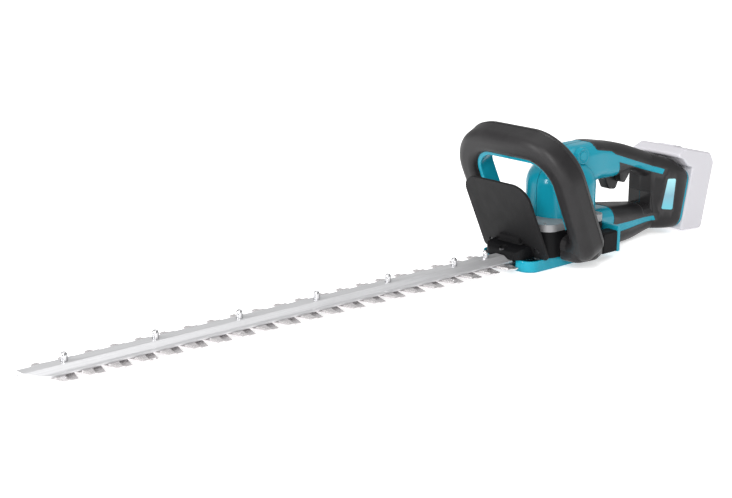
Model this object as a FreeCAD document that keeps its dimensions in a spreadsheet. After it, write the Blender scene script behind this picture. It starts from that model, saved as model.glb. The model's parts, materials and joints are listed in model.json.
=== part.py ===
"""Cordless hedge trimmer with a double-sided reciprocating blade.

Frame, in millimetres: +X points back along the blade's line, from the blade's tip to the battery, +Z is up
and Y = 0 is the plane of symmetry.  The origin lies on the crank's axis, in the plane of the flat underside
that the tool stands on.
"""

import FreeCAD, Part

import math
import os

from FreeCAD import Placement, Rotation, Vector

X_AXIS = Vector(1, 0, 0)
Y_AXIS = Vector(0, 1, 0)
Z_AXIS = Vector(0, 0, 1)
HUGE = 2000.0

doc = FreeCAD.newDocument("hedge_trimmer")
sheet = doc.addObject("Spreadsheet::Sheet", "Dims")

DIMENSIONS = {
    # blade set
    "tooth_pitch": 28.5714,
    "teeth_per_side": 21,
    "first_tooth_x": -650.7,
    "blade_tip_x": -676,
    "blade_thick": 2.2,
    "blade_half_width": 12,
    "tooth_root_width": 18,
    "tooth_tip_width": 7,
    "tooth_bevel": 1.5,
    "reach_at_tip": 30,
    "reach_at_root": 34.5,
    "upper_blade_z": 8.8,
    "lower_blade_z": 6.5,
    "tang_end_x": -30,
    "bar_top_z": 17,
    "bar_flange_z": 13,
    "bar_bottom_z": 11.1,
    "bar_top_half": 6.5,
    "bar_slope_half": 13,
    "bar_half_width": 18.5,
    "bar_tip_x": -686,
    "bar_root_x": -56,
    "bolt_spacing": 100,
    "first_bolt_x": -640,
    "last_bolt_x": -90,
    "bolt_radius": 2.5,
    "cap_nut_radius": 3.4,
    "cap_nut_height": 9.4,
    "bolt_head_radius": 5.2,
    "bolt_head_height": 2.2,
    "bush_radius": 4.0,
    # drive
    "eccentric_throw": 7.143,
    "eccentric_radius": 12,
    "rest_angle": 30,
    "crank_radius": 4.5,
    "lower_yoke_z": 4.6,
    "upper_yoke_z": 9.0,
    "yoke_thick": 4.0,
    "yoke_front_x": -46,
    "gear_module": 1.0,
    "gear_teeth": 38,
    "pinion_teeth": 10,
    "gear_z": 24,
    "gear_thick": 8,
    "motor_x": 24,
    "stator_radius": 27,
    "rotor_radius": 15.5,
    "fan_radius": 26,
    # gear case, cover and guard
    "cover_front_x": -60,
    "cover_rear_x": 34,
    "cover_half_width": 42,
    "cover_height": 13.6,
    "cover_wall": 2.4,
    "mouth_half_width": 20,
    "case_front_x": -34,
    "case_rear_x": 66,
    "case_half_width": 45,
    "case_bottom_z": 13.9,
    "case_top_z": 45,
    "plate_top_z": 53.5,
    "nose_front_x": -66,
    "nose_half_width": 28,
    "nose_top_z": 28.5,
    "bar_screw_seat_z": 21.5,
    "guard_foot_x": -32.2,
    "lean": 24.7,
    "guard_half_width": 51,
    "guard_low": 15.6,
    "guard_high": 116.7,
    "guard_thick": 3,
    # motor housing and grip
    "barrel_front_x": -6.5,
    "barrel_rear_x": 66,
    "barrel_half_width": 45,
    "barrel_top_z": 115,
    "barrel_dome": 26,
    "shell_wall": 3,
    "skin_thick": 1.6,
    "skin_proud": 0.5,
    # front handle
    "loop_foot_x": 17.8,
    "loop_half": 74,
    "loop_thick": 30,
    "loop_depth": 36,
    "loop_top": 165,
    "loop_corner": 45,
    "loop_low": 17,
    "lever_depth": 22,
    "lever_travel": 4,
    # battery
    "battery_lean": 13,
    "battery_x": 221.5,
    "battery_half_width": 37.5,
    "tongue_half_width": 26,
    "tongue_deep": 11,
    "cell_radius": 9,
    "cell_length": 65,
}


def fill_sheet():
    """Writes each driving dimension to its own row: a word, then a plain number that has that word as alias."""
    for row, (name, value) in enumerate(DIMENSIONS.items(), start=1):
        sheet.set(f"A{row}", name)
        sheet.set(f"B{row}", str(value))
        sheet.setAlias(f"B{row}", name)
    doc.recompute()


fill_sheet()


def dim(name):
    """The value of a driving dimension."""
    return float(sheet.get(name))


def bound(text):
    """Turns an expression written with bare aliases into one that names the sheet."""
    words = text.replace("(", " ( ").replace(")", " ) ").split()
    return " ".join(f"Dims.{w}" if w in DIMENSIONS else w for w in words)


def bind(obj, prop, value):
    """Binds a property to an expression over the sheet's aliases, or sets a plain number."""
    if isinstance(value, str):
        obj.setExpression(prop, bound(value))
    else:
        setattr(obj, prop, value)
    return obj


# ---------------------------------------------------------------- sub-parts

PARTS = []


def is_part(obj, label):
    """Names an object as a sub-part that is written to its own file."""
    obj.Label = label
    PARTS.append(obj)
    return obj


def place(obj, x=0, y=0, z=0, turn=None):
    """Puts an object at a position whose coordinates may be expressions, turned by (axis, degrees)."""
    if turn:
        obj.Placement = Placement(Vector(), Rotation(*turn))
    for axis, value in zip("xyz", (x, y, z)):
        if isinstance(value, str):
            obj.setExpression(f"Placement.Base.{axis}", bound(value))
        else:
            base = obj.Placement.Base
            setattr(base, axis, value)
            obj.Placement = Placement(base, obj.Placement.Rotation)
    return obj


def cylinder(name, radius, height, x=0, y=0, z=0, turn=None):
    obj = doc.addObject("Part::Cylinder", name)
    bind(obj, "Radius", radius)
    bind(obj, "Height", height)
    return place(obj, x, y, z, turn)


def box(name, length, width, height, x=0, y=0, z=0, turn=None):
    """A box whose corner of least x, y and z is at the given place."""
    obj = doc.addObject("Part::Box", name)
    bind(obj, "Length", length)
    bind(obj, "Width", width)
    bind(obj, "Height", height)
    return place(obj, x, y, z, turn)


def cut(name, base, *tools):
    """Base without the tools."""
    tool = tools[0] if len(tools) == 1 else fuse(name + "_tools", *tools)
    obj = doc.addObject("Part::Cut", name)
    obj.Base = base
    obj.Tool = tool
    return obj


def fuse(name, *shapes):
    obj = doc.addObject("Part::MultiFuse", name)
    obj.Shapes = list(shapes)
    return obj


def common(name, *shapes):
    obj = doc.addObject("Part::MultiCommon", name)
    obj.Shapes = list(shapes)
    return obj


def group(name, *shapes):
    """Separate solids kept together as one sub-part."""
    obj = doc.addObject("Part::Compound", name)
    obj.Links = list(shapes)
    return obj


def rounded(name, base, radius, chosen):
    """A Part fillet on those edges of base that the function `chosen` accepts."""
    doc.recompute()
    obj = doc.addObject("Part::Fillet", name)
    obj.Base = base
    edges = base.Shape.Edges
    obj.Edges = [(i + 1, radius, radius) for i, e in enumerate(edges) if chosen(e)]
    return obj


def feature(name, shape, placement=None):
    """A shape made with Part's own functions, where no parametric feature fits."""
    obj = doc.addObject("Part::Feature", name)
    obj.Shape = shape
    if placement:
        obj.Placement = placement
    return obj


def corner_path(points):
    """Edges of a closed outline. A point is (x, y), or (x, y, r) where the corner is rounded by radius r."""
    corners = [(Vector(p[0], p[1], 0), p[2] if len(p) > 2 else 0.0) for p in points]
    ends = []
    for i, (here, radius) in enumerate(corners):
        before = (corners[i - 1][0] - here).normalize()
        after = (corners[(i + 1) % len(corners)][0] - here).normalize()
        if radius <= 0:
            ends.append((here, here, None))
            continue
        half = before.getAngle(after) / 2
        back = radius / math.tan(half)
        middle = (before + after).normalize()
        reach = radius / math.sin(half) - radius
        ends.append((here + before * back, here + after * back, here + middle * reach))
    edges = []
    for i, (enter, leave, arc_middle) in enumerate(ends):
        if arc_middle:
            edges.append(Part.Arc(enter, arc_middle, leave))
        following = ends[(i + 1) % len(ends)][0]
        if leave.distanceToPoint(following) > 1e-6:
            edges.append(Part.LineSegment(leave, following))
    return edges


def outline_wire(points, placement=None):
    """A closed wire in the XY plane, moved by placement."""
    wire = Part.Wire(Part.__sortEdges__([e.toShape() for e in corner_path(points)]))
    if placement:
        wire.Placement = placement
    return wire


def circle_loop(radius, x=0.0, y=0.0):
    """A full circle for a sketch."""
    return [Part.Circle(Vector(x, y, 0), Z_AXIS, radius)]


def body_with_sketch(name, loops, plane):
    """A PartDesign body with one sketch on an origin plane, made of the given loops of curves."""
    body = doc.addObject("PartDesign::Body", name)
    sketch = body.newObject("Sketcher::SketchObject", name + "_sketch")
    support = [f for f in body.Origin.OriginFeatures if f.Role == plane][0]
    sketch.AttachmentSupport = [(support, "")]
    sketch.MapMode = "FlatFace"
    for loop in loops:
        sketch.addGeometry(loop, False)
    return body, sketch


def pad(name, loops, length, plane="XY_Plane", x=0, y=0, z=0, turn=None, midplane=False):
    """A PartDesign body: a sketch padded by `length`, which may be an expression."""
    body, sketch = body_with_sketch(name, loops, plane)
    pad_feature = body.newObject("PartDesign::Pad", name + "_pad")
    pad_feature.Profile = sketch
    bind(pad_feature, "Length", length)
    pad_feature.Midplane = midplane
    return place(body, x, y, z, turn)


def turned(name, points, x=0, y=0, z=0, turn=None):
    """A PartDesign body: an outline of (radius, height) points revolved about its own vertical axis."""
    body, sketch = body_with_sketch(name, [corner_path(points)], "XZ_Plane")
    revolution = body.newObject("PartDesign::Revolution", name + "_turned")
    revolution.Profile = sketch
    revolution.ReferenceAxis = (sketch, ["V_Axis"])
    revolution.Angle = 360
    return place(body, x, y, z, turn)


def loft(sections):
    """A solid through closed wires, smooth from one to the next."""
    return Part.makeLoft(sections, True, False)


def half_space(side):
    """Everything on one side of the plane of symmetry; side is -1 for the left half and 1 for the right."""
    corner = Vector(-HUGE, -HUGE if side < 0 else 0, -HUGE)
    return Part.makeBox(2 * HUGE, HUGE, 2 * HUGE, corner)


# ---------------------------------------------------------------- blade set

STROKE = 2 * dim("eccentric_throw")
SIDES = (-1, 1)
# Each blade rests a third of its half stroke from the crank's own angle, one ahead of the middle, one behind.
REST_SHARE = 1 - dim("rest_angle") / 90
REST_SHIFT = {"upper": -REST_SHARE * STROKE / 2, "lower": REST_SHARE * STROKE / 2}
THROW_ANGLE = {"upper": dim("rest_angle") + 180, "lower": dim("rest_angle")}


def bolt_places():
    """The x of each blade bolt: evenly spaced ones, and a last one near the root."""
    count = int((dim("last_bolt_x") - dim("first_bolt_x")) // dim("bolt_spacing"))
    evenly = [dim("first_bolt_x") + k * dim("bolt_spacing") for k in range(count + 1)]
    return evenly + [dim("last_bolt_x")]


def tooth(centre_x, share, side, bevel_up):
    """One tooth, whose two flanks and tip are ground to a bevel on the outer face.

    share runs from 0 at the blade's tip to 1 at its root, where the teeth reach further out.
    """
    reach = dim("reach_at_tip") + share * (dim("reach_at_root") - dim("reach_at_tip"))
    inner = dim("blade_half_width") - 1.0

    def section(inset, z):
        root = dim("tooth_root_width") / 2 - inset
        tip = dim("tooth_tip_width") / 2 - inset
        far = reach - inset
        corners = [(-root, inner), (root, inner), (tip, far), (-tip, far)]
        points = [Vector(centre_x + u, side * v, z) for u, v in corners]
        return Part.makePolygon(points + points[:1])

    thick = dim("blade_thick")
    ground, full = (thick, 0.0) if bevel_up else (0.0, thick)
    land = full + (ground - full) * 0.35
    flank = Part.makeLoft([section(0, land), section(dim("tooth_bevel"), ground)], True, True)
    edge = Part.makeLoft([section(0, full), section(0, land)], True, True)
    return flank.fuse(edge).removeSplitter()


def slot_tool(centre_x, length, width):
    """A slot along X that goes right through a blade."""
    half = length / 2 - width / 2
    middle = Part.makeBox(2 * half, width, 10, Vector(centre_x - half, -width / 2, -4))
    ends = [Part.makeCylinder(width / 2, 10, Vector(centre_x + s * half, 0, -4)) for s in SIDES]
    return middle.fuse(ends)


def rivet_places(which):
    """Where a blade's tang is riveted to its drive yoke."""
    x = dim("tang_end_x") - 7 + REST_SHIFT[which]
    return [(x, side * 7.0) for side in SIDES]


def blade(which):
    """A shear blade: a strip with teeth on both edges, a slot for each bolt and a tang at the drive's end."""
    shift = REST_SHIFT[which]
    half = dim("blade_half_width")
    tip, end = dim("blade_tip_x") + shift, dim("tang_end_x") + shift
    strip = [(tip, -5, 2), (tip + 10, -half, 6), (end, -half, 3), (end, half, 3), (tip + 10, half, 6), (tip, 5, 2)]
    solid = Part.Face(outline_wire(strip)).extrude(Vector(0, 0, dim("blade_thick")))
    teeth = []
    count = int(dim("teeth_per_side"))
    for k in range(count):
        x = dim("first_tooth_x") + shift + k * dim("tooth_pitch")
        teeth += [tooth(x, k / (count - 1), side, which == "upper") for side in SIDES]
    solid = solid.fuse(teeth)
    width = 2 * dim("bush_radius") + 0.3
    slots = [slot_tool(x + shift, STROKE + width + 0.8, width) for x in bolt_places()]
    rivets = [Part.makeCylinder(2.0, 10, Vector(x, y, -4)) for x, y in rivet_places(which)]
    solid = solid.cut(Part.makeCompound(slots + rivets)).removeSplitter()
    placement = Placement(Vector(0, 0, dim(which + "_blade_z")), Rotation())
    return is_part(feature(which + "_blade", solid, placement), which + "_blade")


def bar_outline(gap=0.0):
    """The bar's hat-shaped section in the YZ plane, grown by gap all round; the bar itself has a groove below."""
    top, flange, bottom = dim("bar_top_z") + gap, dim("bar_flange_z") + gap, dim("bar_bottom_z") - gap
    flat, slope, half = dim("bar_top_half") + gap, dim("bar_slope_half") + gap, dim("bar_half_width") + gap
    right = [(flat, top, 1.0), (slope, flange, 1.0), (half, flange, 0.5), (half, bottom)]
    if gap == 0:
        right += [(5, bottom), (5, bottom + 2)]
    return right + [(-p[0], *p[1:]) for p in reversed(right)]


def bar_screw_places():
    """The screw that holds the bar's root in the gear case's nose."""
    return [dim("bar_root_x") - 5.0]


def guide_bar():
    """The hat-section bar on top of the blades, with a pointed tip and a hole for each bolt."""
    length = dim("bar_root_x") - dim("bar_tip_x")
    section_body = pad("bar_section", [corner_path(bar_outline())], length, "YZ_Plane", x="bar_tip_x")
    tip, root, half = dim("bar_tip_x"), dim("bar_root_x"), dim("bar_half_width")
    plan = [(tip, -6), (tip + 14, -13, 3), (tip + 22, -half, 4), (root, -half)]
    plan += [(x, -y, *r) for x, y, *r in reversed(plan)]
    plan_body = pad("bar_plan", [corner_path(plan)], 40)
    holes = [cylinder("bar_hole", "bolt_radius + 0.1", 40, x) for x in bolt_places() + bar_screw_places()]
    shaped = common("bar_shaped", section_body, plan_body)
    return is_part(cut("guide_bar", shaped, *holes), "guide_bar")


def blade_bolts():
    """Bolts through the blades: a flat head below and a shank up to the top of the bar."""
    low = dim("lower_blade_z") - 0.1
    solids = []
    for x in bolt_places():
        shank = cylinder("bolt_shank", "bolt_radius", dim("bar_top_z") - low, x, 0, low)
        head = cylinder("bolt_head", "bolt_head_radius", "bolt_head_height", x, 0, low - dim("bolt_head_height"))
        solids.append(fuse("blade_bolt", shank, head))
    return is_part(group("blade_bolts", *solids), "blade_bolts")


def cap_nuts():
    """Domed nuts on the bar, one on each bolt."""
    radius, height = dim("cap_nut_radius"), dim("cap_nut_height")
    profile = [(0, 0), (radius, 0), (radius, height, radius * 0.96), (0, height)]
    nuts = [turned("cap_nut", profile, x, 0, "bar_top_z") for x in bolt_places()]
    return is_part(group("cap_nuts", *nuts), "cap_nuts")


def slide_bushes():
    """Spacer bushes round the bolts, on which the slots of both blades run."""
    low = dim("lower_blade_z") - 0.05
    height = dim("bar_bottom_z") - low - 0.02
    rings = []
    for x in bolt_places():
        outer = cylinder("bush_outer", "bush_radius", height, x, 0, low)
        inner = cylinder("bush_bore", "bolt_radius + 0.05", height + 2, x, 0, low - 1)
        rings.append(cut("slide_bush", outer, inner))
    return is_part(group("slide_bushes", *rings), "slide_bushes")


def make_blade_set():
    blade("upper")
    blade("lower")
    guide_bar()
    blade_bolts()
    cap_nuts()
    slide_bushes()


# ---------------------------------------------------------------- drive

# A crank that turns evenly leads or trails an evenly moving blade by up to 0.2106 of its throw.
CRANK_LEAD = 0.2106
SLOT_HALF = dim("eccentric_radius") + CRANK_LEAD * dim("eccentric_throw") + 0.25
SLOT_HALF_Y = dim("eccentric_radius") + dim("eccentric_throw") + 0.8


def yoke(which):
    """A drive yoke: a slotted plate that an eccentric pushes to and fro, riveted to a blade's tang."""
    centre = REST_SHIFT[which]
    front = dim("yoke_front_x") + centre
    near, far = centre - SLOT_HALF, centre + SLOT_HALF
    rim = 5.0
    wide = SLOT_HALF_Y + rim
    plate = [(front, -11, 3), (near - 10, -11, 4), (near - rim, -wide, 6), (far + rim, -wide, 10)]
    plate += [(x, -y, *r) for x, y, *r in reversed(plate)]
    slot = [(near, -SLOT_HALF_Y, 9), (far, -SLOT_HALF_Y, 9), (far, SLOT_HALF_Y, 9), (near, SLOT_HALF_Y, 9)]
    low = dim(which + "_yoke_z")
    body = pad(which + "_yoke_plate", [corner_path(plate), corner_path(slot)], "yoke_thick", z=low)
    blade_low = dim(which + "_blade_z") - 0.02
    blade_high = blade_low + dim("blade_thick") + 0.04
    tang = box(which + "_tang_room", 60, 80, blade_high - blade_low, dim("tang_end_x") + centre - 59.8, -40, blade_low)
    room = [tang]
    if which == "upper":
        room.append(box("upper_low_room", 60, 80, 3, dim("tang_end_x") + centre - 59.8, -40, blade_low - 2.9))
    else:
        room.append(box("lower_high_room", 60, 80, 3, dim("tang_end_x") + centre - 59.8, -40, blade_high - 0.1))
    holes = [cylinder("rivet_hole", 2.0, 20, x, y, 0) for x, y in rivet_places(which)]
    return is_part(cut(which + "_drive_yoke", body, *room, *holes), which + "_drive_yoke")


def yoke_rivets(which):
    """Two rivets through a blade's tang and its yoke."""
    if which == "upper":
        low, high = dim("upper_blade_z"), dim("upper_yoke_z") + dim("yoke_thick")
    else:
        low, high = dim("lower_yoke_z"), dim("lower_blade_z") + dim("blade_thick")
    rivets = [cylinder(which + "_rivet", 1.98, high - low, x, y, low) for x, y in rivet_places(which)]
    return is_part(group(which + "_yoke_rivets", *rivets), which + "_yoke_rivets")


def eccentric(which):
    """An eccentric disc on the crankshaft."""
    low = dim(which + "_yoke_z") + 0.2
    angle = math.radians(THROW_ANGLE[which])
    x, y = dim("eccentric_throw") * math.cos(angle), dim("eccentric_throw") * math.sin(angle)
    disc = cylinder(which + "_disc", "eccentric_radius", "yoke_thick - 0.4", x, y, low)
    bore = cylinder(which + "_disc_bore", "crank_radius", 10, 0, 0, low - 2)
    return is_part(cut(which + "_eccentric", disc, bore), which + "_eccentric")


def gear_outline(teeth, module, share):
    """Straight-flanked gear teeth; share is a tooth's part of the pitch, under a half to leave backlash."""
    pitch_radius = teeth * module / 2
    levels = [(-1.15, 1.45), (-0.2, 1.08), (0.85, 0.52)]
    points = []
    for k in range(teeth):
        middle = 2 * math.pi * k / teeth
        quarter = 2 * math.pi / teeth * share / 2
        ring = [(pitch_radius + a * module, middle - quarter * b) for a, b in levels]
        ring += [(pitch_radius + a * module, middle + quarter * b) for a, b in reversed(levels)]
        points += [(radius * math.cos(angle), radius * math.sin(angle)) for radius, angle in ring]
    return corner_path(points)


def crank_gear():
    """The large spur gear, with six lightening holes."""
    loops = [gear_outline(int(dim("gear_teeth")), dim("gear_module"), 0.44), circle_loop(dim("crank_radius"))]
    for k in range(6):
        angle = math.radians(60 * k + 30)
        loops.append(circle_loop(3.2, 11.5 * math.cos(angle), 11.5 * math.sin(angle)))
    return is_part(pad("crank_gear", loops, "gear_thick", z="gear_z"), "crank_gear")


def crankshaft():
    """The vertical shaft that carries the gear and both eccentrics."""
    low, high = dim("lower_yoke_z") - 1.6, dim("gear_z") + dim("gear_thick") + 8.5
    radius = dim("crank_radius")
    profile = [(0, low), (radius - 1, low), (radius, low + 1), (radius, high - 1), (radius - 1, high), (0, high)]
    return is_part(turned("crankshaft", profile), "crankshaft")


def ring(name, outer, inner, width, x, z):
    """A plain ring round a vertical axis."""
    return cut(name, cylinder(name + "_disc", outer, width, x, 0, z), cylinder(name + "_bore", inner, 60, x, 0, z - 9))


def ball_bearing(label, bore, outer, width, x, z):
    """Two races and the balls between them, as one group of separate solids."""
    gap = outer - bore
    inner = ring(label + "_inner", bore + gap * 0.3, bore, width, x, z)
    outside = ring(label + "_outer", outer, outer - gap * 0.3, width, x, z)
    orbit = (outer + bore) / 2
    balls = []
    for k in range(8):
        ball = doc.addObject("Part::Sphere", label + "_ball")
        ball.Radius = gap * 0.195
        angle = math.radians(45 * k)
        balls.append(place(ball, x + orbit * math.cos(angle), orbit * math.sin(angle), z + width / 2))
    return is_part(group(label, inner, outside, *balls), label)


STATOR_Z = 68.0
STACK = 22.0


def stator():
    """The laminated stator with twelve slots, and the ends of its coils above and below."""
    coil_ring = 21.6
    loops = [circle_loop(dim("stator_radius")), circle_loop(dim("rotor_radius") + 0.6)]
    coils = []
    for k in range(12):
        a = math.radians(30 * k)
        loops.append(circle_loop(2.4, coil_ring * math.cos(a), coil_ring * math.sin(a)))
        x, y = dim("motor_x") + coil_ring * math.cos(a), coil_ring * math.sin(a)
        coils += [cylinder("coil_end", 4.3, 4.0, x, y, z) for z in (STATOR_Z - 4.2, STATOR_Z + STACK + 0.2)]
    is_part(pad("motor_stator", loops, STACK, x="motor_x", z=STATOR_Z), "motor_stator")
    is_part(group("stator_windings", *coils), "stator_windings")


def rotor():
    """The rotor's core, its shaft and the pinion cut to mesh with the crank gear."""
    is_part(ring("motor_rotor", dim("rotor_radius"), 4.0, STACK, dim("motor_x"), STATOR_Z), "motor_rotor")
    profile = [(0, 23.5), (3, 23.5), (3, 44), (4, 44), (4, 104), (0, 104)]
    is_part(turned("motor_shaft", profile, x="motor_x"), "motor_shaft")
    teeth = gear_outline(int(dim("pinion_teeth")), dim("gear_module"), 0.44)
    turn = (Z_AXIS, 180 - 180 / dim("pinion_teeth"))
    pinion = pad("motor_pinion", [teeth, circle_loop(3.0)], "gear_thick + 1", x="motor_x", z="gear_z - 0.5", turn=turn)
    is_part(pinion, "motor_pinion")


def fan():
    """A radial fan below the rotor."""
    low, radius = 55.2, dim("fan_radius")
    hub = cylinder("fan_hub", 9, 7.5, "motor_x", 0, low)
    disc = cylinder("fan_disc", radius, 1.5, "motor_x", 0, low)
    vanes = []
    for k in range(9):
        turn = Rotation(Z_AXIS, 40 * k)
        vane = box("fan_vane", radius - 8, 1.4, 6.5)
        vane.Placement = Placement(Vector(dim("motor_x"), 0, low + 0.5) + turn.multVec(Vector(7, -0.7, 0)), turn)
        vanes.append(vane)
    bore = cylinder("fan_bore", 4, 40, "motor_x", 0, low - 9)
    is_part(cut("cooling_fan", fuse("fan_solid", hub, disc, *vanes), bore), "cooling_fan")


def make_drive():
    for which in ("upper", "lower"):
        yoke(which)
        yoke_rivets(which)
        eccentric(which)
    crank_gear()
    crankshaft()
    ball_bearing("crank_lower_bearing", dim("crank_radius") + 0.02, 11, 6, 0, 16.9)
    ball_bearing("crank_upper_bearing", dim("crank_radius") + 0.02, 11, 6, 0, 34)
    ball_bearing("motor_lower_bearing", 4.02, 11, 6, dim("motor_x"), 47)
    ball_bearing("motor_upper_bearing", 4.02, 8, 5, dim("motor_x"), 98.5)
    stator()
    rotor()
    fan()


# ---------------------------------------------------------------- gear case, cover and guard

SIDE_PLANE = Rotation(X_AXIS, 90)
ACROSS_PLANE = Rotation(Vector(1, 1, 1), 120)
CASE_SCREWS = [(-26, 33), (-26, -33), (58, 37), (58, -37)]


def side_prism(points, low_y, high_y):
    """An outline in the XZ plane, extruded from low_y to high_y."""
    wire = outline_wire(points, Placement(Vector(0, low_y, 0), SIDE_PLANE))
    return Part.Face(wire).extrude(Vector(0, high_y - low_y, 0))


def plan_prism(points, low, high):
    """An outline in the XY plane, extruded from low to high."""
    return Part.Face(outline_wire(points, Placement(Vector(0, 0, low), Rotation()))).extrude(Vector(0, 0, high - low))


def case_plan(inset=0.0):
    """The gear case seen from above: rounder corners at the front than at the rear."""
    front, rear, half = dim("case_front_x") + inset, dim("case_rear_x") - inset, dim("case_half_width") - inset
    return [(front, -half, 16 - inset), (rear, -half, 9 - inset), (rear, half, 9 - inset), (front, half, 16 - inset)]


def gear_case():
    """The cast case: bearing pocket in its floor, gear room above, and a nose that grips the guide bar."""
    low, high, floor = dim("case_bottom_z"), dim("case_top_z"), 23.2
    shell = pad("case_block", [corner_path(case_plan())], high - low, z=low)
    room = pad("case_room", [corner_path(case_plan(4))], high, z=floor)
    nose_half, nose_top, cover_top = dim("nose_half_width"), dim("nose_top_z"), dim("cover_height") + 0.3
    nose_front, nose_rear = dim("nose_front_x"), dim("case_front_x") + 8
    nose_plan = [(nose_front, -nose_half, 12), (nose_rear, -nose_half), (nose_rear, nose_half)]
    nose_plan.append((nose_front, nose_half, 12))
    nose_side = [(nose_front, cover_top), (nose_front, 22, 4), (nose_front + 8, nose_top - 2, 5)]
    nose_side += [(nose_front + 19, nose_top), (nose_rear, nose_top), (nose_rear, cover_top)]
    nose_column = pad("nose_column", [corner_path(nose_plan)], 40)
    nose_wedge = pad("nose_wedge", [corner_path(nose_side)], 2 * nose_half, "XZ_Plane", midplane=True)
    root_half = dim("bar_half_width") + 1
    nose_low = dim("bar_bottom_z")
    root = box("nose_root", nose_rear - nose_front - 2, 2 * root_half, cover_top - nose_low, nose_front + 2,
               -root_half, nose_low)
    nose = fuse("nose", common("nose_shape", nose_column, nose_wedge), root)
    channel_length = dim("bar_root_x") - nose_front + 1.1
    channel = pad("channel", [corner_path(bar_outline(0.1))], channel_length, "YZ_Plane", x=nose_front - 1)
    under = box("nose_under", 40, 80, 3, dim("bar_root_x"), -40, dim("bar_bottom_z") - 0.1)
    pocket = cylinder("lower_bearing_pocket", 11, 12, 0, 0, 16.9)
    shaft_way = cylinder("shaft_way", 8, 20, 0, 0, 10)
    screw_ways = [cylinder("bar_screw_way", "bolt_radius + 0.1", 30, x) for x in bar_screw_places()]
    screw_ways += [cylinder("bar_screw_sink", 4.8, 10, x, 0, "bar_screw_seat_z") for x in bar_screw_places()]
    bosses = [cylinder("case_boss", 6, high - low, x, y, low) for x, y in CASE_SCREWS]
    ways = [cylinder("case_screw_way", 2.1, 60, x, y, 0) for x, y in CASE_SCREWS]
    walls = fuse("case_walls", cut("case_shell", shell, room), nose, *bosses)
    solid = cut("gear_case", walls, channel, under, pocket, shaft_way, *screw_ways, *ways)
    return is_part(solid, "gear_case")


def bar_screws():
    """The screw that clamps the guide bar's root in the nose, its head sunk below the nose's top."""
    solids = []
    for x in bar_screw_places():
        low = dim("bar_bottom_z") + 0.2
        shank = cylinder("bar_screw_shank", "bolt_radius", dim("bar_screw_seat_z") - low, x, 0, low)
        head = cylinder("bar_screw_head", 4.5, 2.5, x, 0, "bar_screw_seat_z")
        socket = cylinder("bar_screw_socket", 2.0, 2.0, x, 0, dim("bar_screw_seat_z") + 1.0)
        solids.append(cut("bar_screw", fuse("bar_screw_solid", shank, head), socket))
    return is_part(group("bar_screws", *solids), "bar_screws")


def motor_plate():
    """The light alloy plate between gear case and motor, with both upper gear bearings' seats."""
    low, high = dim("case_top_z"), dim("plate_top_z")
    x = dim("motor_x")
    plate = pad("plate_block", [corner_path(case_plan())], high - low, z=low)
    boss = cylinder("plate_boss", 14.5, low - 33.8, 0, 0, 33.8)
    crank_seat = cylinder("crank_seat", 11, 9, 0, 0, 31)
    crank_way = cylinder("crank_way", 7, 10.5, 0, 0, 33)
    motor_seat = cylinder("motor_seat", 11, 20, x, 0, 47)
    motor_way = cylinder("motor_way", 6.5, 20, x, 0, 40)
    ways = [cylinder("plate_screw_way", 2.1, 60, px, py, 20) for px, py in CASE_SCREWS]
    solid = cut("motor_plate", fuse("plate_solid", plate, boss), crank_seat, crank_way, motor_seat, motor_way, *ways)
    return is_part(solid, "motor_plate")


def under_cover():
    """The tray below the yokes, with a wide low mouth at the front for the blades."""
    front, rear, half = dim("cover_front_x"), dim("cover_rear_x"), dim("cover_half_width")
    wall, height = dim("cover_wall"), dim("cover_height")
    plan = [(front, -half, 16), (rear, -half, 6), (rear, half, 6), (front, half, 16)]
    inner = [(front + wall, -half + wall, 13), (rear - wall, -half + wall, 4)]
    inner += [(x, -y, r) for x, y, r in reversed(inner)]
    block = pad("cover_block", [corner_path(plan)], "cover_height")
    outer = rounded("cover_outer", block, 1.8, lambda e: e.BoundBox.ZMax < 0.1)
    room = pad("cover_room", [corner_path(inner)], "cover_height", z=wall)
    mouth = box("cover_mouth", 30, 2 * dim("mouth_half_width"), height, front - 5, -dim("mouth_half_width"), 3.6)
    bosses = [cylinder("cover_boss", 4.5, height, x, y, 0) for x, y in CASE_SCREWS[:2]]
    ways = [cylinder("cover_way", 2.1, 30, x, y, -1) for x, y in CASE_SCREWS[:2]]
    heads = [cylinder("cover_head_way", 4.0, 2.6, x, y, -1) for x, y in CASE_SCREWS[:2]]
    tray = fuse("cover_tray", cut("cover_walls", outer, room, mouth), *bosses)
    return is_part(cut("under_cover", tray, *ways, *heads), "under_cover")


def case_screws():
    """Screws up through the cover, the gear case and the motor plate."""
    solids = []
    for x, y in CASE_SCREWS:
        low = 1.6 if x < 0 else dim("case_bottom_z")
        head_low = low - 1.4 if x < 0 else low - 2.4
        shank = cylinder("case_screw_shank", 2.0, 50 - low, x, y, low)
        head = cylinder("case_screw_head", 3.8, low - head_low, x, y, head_low)
        solids.append(fuse("case_screw", shank, head))
    return is_part(group("case_screws", *solids), "case_screws")


def lean_frame(foot_x):
    """Placement whose local x is the tool's y, local y is up the leaning plane, and local z points to the rear."""
    return Placement(Vector(foot_x, 0, 0), Rotation(Y_AXIS, -dim("lean")).multiply(ACROSS_PLANE))


def lean_prism(points, foot_x, low, high):
    """An outline (across, up) in the leaning plane, extruded backwards from low to high."""
    frame = lean_frame(foot_x)
    face = Part.Face(outline_wire(points))
    solid = face.extrude(Vector(0, 0, high - low))
    solid.translate(Vector(0, 0, low))
    solid.Placement = frame.multiply(solid.Placement)
    return solid


def fillet_where(shape, radius, chosen):
    """Rounds the edges that the function `chosen` accepts."""
    return shape.makeFillet(radius, [e for e in shape.Edges if chosen(e)])


GUARD_SCREW_Y = 36
GUARD_SCREW_Z = 23.5


def guard_screw_seat_x():
    """Where the guard screws' heads bear, 3.5 mm below the guard's front face."""
    return dim("guard_foot_x") - GUARD_SCREW_Z * math.tan(math.radians(dim("lean"))) + 3.5


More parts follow.
